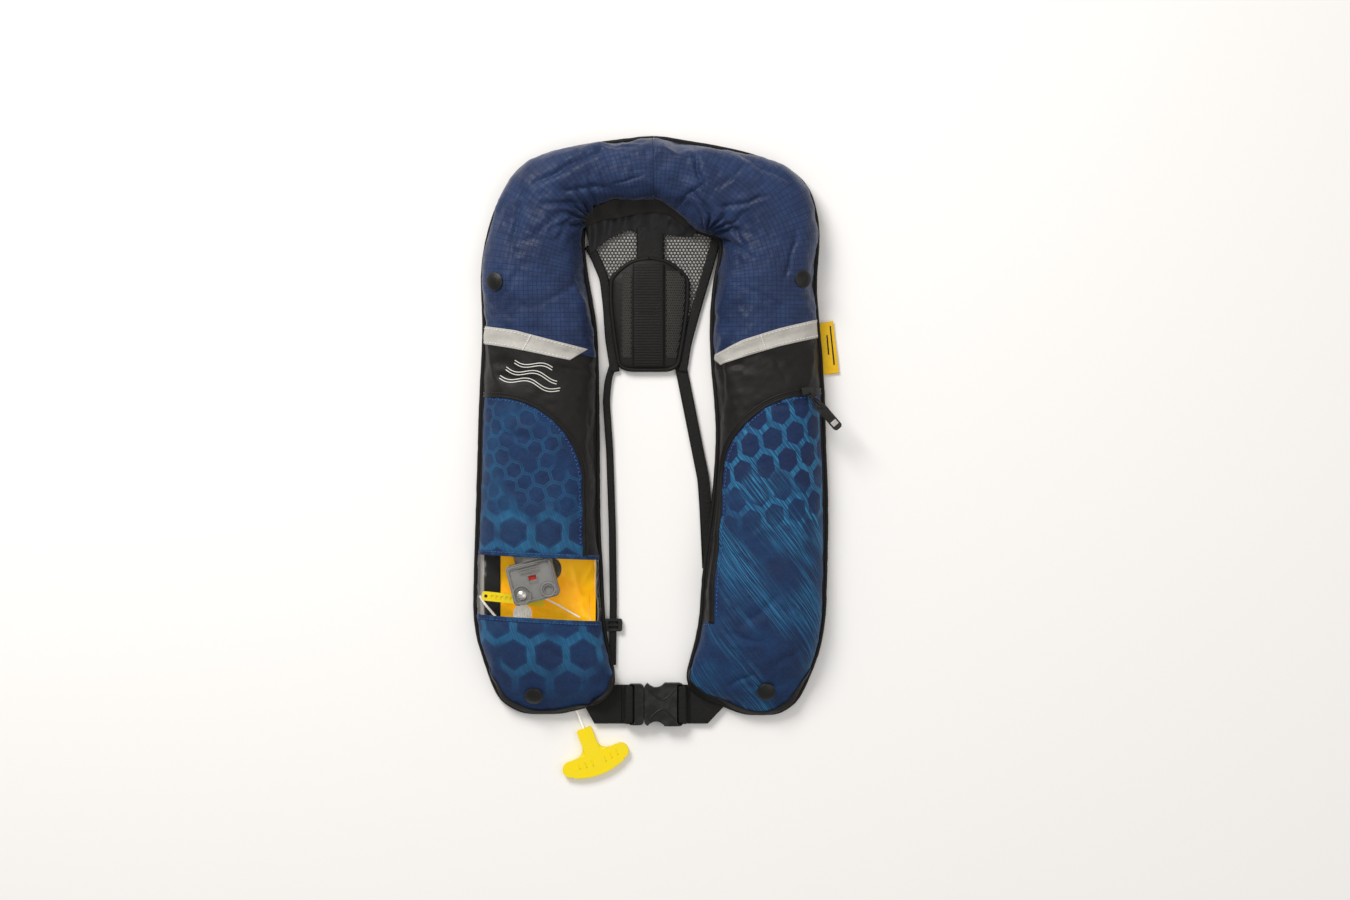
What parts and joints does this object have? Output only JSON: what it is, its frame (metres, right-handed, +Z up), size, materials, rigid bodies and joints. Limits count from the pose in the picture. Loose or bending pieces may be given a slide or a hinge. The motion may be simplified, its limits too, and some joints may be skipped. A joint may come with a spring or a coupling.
{
  "type": "inflatable life jacket",
  "caption": "Yoke-style inflatable life jacket lying flat: padded horseshoe collar and fronts, mesh back yoke, waist belt with side-release buckle, gas inflator and pull handle.",
  "frame": {"origin": "on the rest plane under the centre of the back of the neck, where the collar's centre seam crosses the middle of the collar", "axes": "+X towards the front with the zip, +Y from the waist towards the collar's crown, +Z up, out of the jacket's outer face"},
  "size_m": [0.3477, 0.6096, 0.0451],
  "materials": {
    "navy_ripstop": "coated ripstop, slight sheen",
    "printed_fabric": "printed polyester twill",
    "black_fabric": "woven nylon, slight sheen",
    "satin_lining": "gathered satin",
    "piping": "folded binding",
    "mesh_fabric": "open spacer mesh",
    "webbing": "ribbed webbing",
    "reflective_tape": "retroreflective tape",
    "tag_fabric": "blank woven tag",
    "bladder_fabric": "coated nylon",
    "clear_window": "soft clear vinyl",
    "zip_tape": "reversed coil zip",
    "black_plastic": "moulded, semi-gloss",
    "black_rubber": "matte",
    "steel": "plated",
    "grey_plastic": "moulded",
    "dark_plastic": "moulded",
    "yellow_plastic": "moulded",
    "red_plastic": "moulded",
    "cylinder_paint": "satin",
    "pale_cord": "braided"
  },
  "bodies": {
    "fronts": {"back_left": "black_fabric", "back_right": "black_fabric", "bladder_left": "bladder_fabric", "bladder_right": "bladder_fabric", "upper_cover_left": "printed_fabric", "inflator_window": "clear_window", "lower_flap_left": "printed_fabric", "front_cover_right": "printed_fabric", "piping_left": "piping", "piping_right": "piping", "zip_band_left": "zip_tape", "zip_chain_right": "zip_tape", "strap_left": "webbing", "strap_right": "webbing", "belt_left": "webbing", "belt_right": "webbing", "buckle_socket": "black_plastic", "snap_studs_lower": "steel", "inflator_body": "grey_plastic", "manifold": "dark_plastic", "pivot_pin": "steel", "firing_spring": "steel", "oral_tube": "black_rubber", "whistle": "yellow_plastic"},
    "collar": {"collar_back": "black_fabric", "collar_cover_left": "navy_ripstop", "collar_cover_right": "navy_ripstop", "collar_bladder": "bladder_fabric", "collar_piping": "piping", "neck_lining": "satin_lining", "neck_tape": "black_fabric", "shoulder_panel_left": "black_fabric", "shoulder_panel_right": "black_fabric", "reflector_left": "reflective_tape", "reflector_right": "reflective_tape", "yoke_mesh": "mesh_fabric", "yoke_binding": "black_fabric", "back_pad": "black_fabric", "pad_webbing": "webbing", "yellow_tag": "tag_fabric", "snap_studs_upper": "steel"},
    "upper_left_snap": {"snap_cap_upper_left": "black_plastic"},
    "upper_right_snap": {"snap_cap_upper_right": "black_plastic"},
    "lower_left_snap": {"snap_cap_lower_left": "black_plastic"},
    "lower_right_snap": {"snap_cap_lower_right": "black_plastic"},
    "slider": {"zip_slider": "black_plastic"},
    "puller": {"zip_puller": "black_rubber"},
    "adjuster": {"strap_adjuster": "black_plastic"},
    "plug": {"buckle_plug": "black_plastic"},
    "arm_upper": {"buckle_arm_upper": "black_plastic"},
    "arm_lower": {"buckle_arm_lower": "black_plastic"},
    "lever": {"firing_lever": "yellow_plastic"},
    "pin": {"firing_pin": "steel"},
    "indicator": {"indicator_flag": "red_plastic"},
    "gasket": {"cylinder_gasket": "black_rubber"},
    "cylinder": {"gas_cylinder": "cylinder_paint"},
    "handle": {"pull_cord": "pale_cord", "pull_handle": "yellow_plastic"},
    "valve": {"oral_valve": "grey_plastic"},
    "cap": {"dust_cap": "yellow_plastic"}
  },
  "joints": [
    {"name": "collar_fold", "type": "hinge", "parent": "fronts", "child": "collar", "pos_m": [0, -0.184, 0.048], "axis": [1, 0, 0], "range_deg": [0, 150]},
    {"name": "snap_upper_left_pull", "type": "slide", "parent": "collar", "child": "upper_left_snap", "axis": [-0.4568, -0.0328, 0.889], "range_m": [0, 0.006]},
    {"name": "snap_upper_right_pull", "type": "slide", "parent": "collar", "child": "upper_right_snap", "axis": [0.4746, -0.0279, 0.8797], "range_m": [0, 0.006]},
    {"name": "snap_lower_left_pull", "type": "slide", "parent": "fronts", "child": "lower_left_snap", "axis": [-0.047, -0.486, 0.8727], "range_m": [0, 0.006]},
    {"name": "snap_lower_right_pull", "type": "slide", "parent": "fronts", "child": "lower_right_snap", "axis": [0.0464, -0.3362, 0.9406], "range_m": [0, 0.006]},
    {"name": "zip_slide", "type": "slide", "parent": "fronts", "child": "slider", "axis": [-0.9576, -0.1717, 0.2316], "range_m": [0, 0.014]},
    {"name": "puller_swing", "type": "hinge", "parent": "slider", "child": "puller", "pos_m": [0.14774, -0.21518, 0.04223], "axis": [-0.7547, -0.6561, 0], "range_deg": [0, 60]},
    {"name": "adjuster_slide", "type": "slide", "parent": "fronts", "child": "adjuster", "axis": [0, 1, 0], "range_m": [0, 0.06]},
    {"name": "buckle_release", "type": "slide", "parent": "fronts", "child": "plug", "axis": [-1, 0, 0], "range_m": [0, 0.02], "deforming": ["belt_left", "buckle_arm_upper", "buckle_arm_lower"]},
    {"name": "arm_squeeze_upper", "type": "hinge", "parent": "plug", "child": "arm_upper", "pos_m": [-0.015, -0.4965, 0.0067], "axis": [0, 0, -1], "range_deg": [0, 12]},
    {"name": "arm_squeeze_lower", "type": "hinge", "parent": "plug", "child": "arm_lower", "pos_m": [-0.015, -0.5175, 0.0067], "axis": [0, 0, 1], "range_deg": [0, 12]},
    {"name": "lever_pull", "type": "hinge", "parent": "fronts", "child": "lever", "pos_m": [-0.124, -0.4024, 0.0216], "axis": [0, 0, 1], "range_deg": [0, 30]},
    {"name": "handle_pull", "type": "slide", "parent": "fronts", "child": "handle", "axis": [0.3584, -0.9336, 0], "range_m": [0, 0.022]},
    {"name": "firing_pin_travel", "type": "slide", "parent": "fronts", "child": "pin", "axis": [-0.2504, 0.9681, 0], "range_m": [0, 0.0095], "deforming": ["firing_spring"]},
    {"name": "indicator_shift", "type": "slide", "parent": "fronts", "child": "indicator", "axis": [0.2504, -0.9681, 0], "range_m": [0, 0.0045]},
    {"name": "cylinder_back_out", "type": "slide", "parent": "fronts", "child": "gasket", "axis": [-0.2504, 0.9681, 0], "range_m": [0, 0.01]},
    {"name": "cylinder_turn", "type": "hinge", "parent": "gasket", "child": "cylinder", "pos_m": [-0.11505, -0.3691, 0.021], "axis": [-0.2504, 0.9681, 0], "range_deg": [0, 2900]},
    {"name": "valve_press", "type": "slide", "parent": "fronts", "child": "valve", "axis": [0, -1, 0], "range_m": [0, 0.003]},
    {"name": "dust_cap_pull", "type": "slide", "parent": "fronts", "child": "cap", "axis": [0, 1, 0], "range_m": [0, 0.014]}
  ],
  "couplings": [
    {"joint": "arm_squeeze_lower", "follows": "arm_squeeze_upper", "ratio": 1},
    {"joint": "handle_pull", "follows": "lever_pull", "m_per_rad": 0.0401},
    {"joint": "firing_pin_travel", "follows": "lever_pull", "m_per_rad": 0.01765},
    {"joint": "indicator_shift", "follows": "lever_pull", "m_per_rad": 0.00764},
    {"joint": "cylinder_turn", "follows": "cylinder_back_out", "rad_per_m": 5026.5}
  ]
}
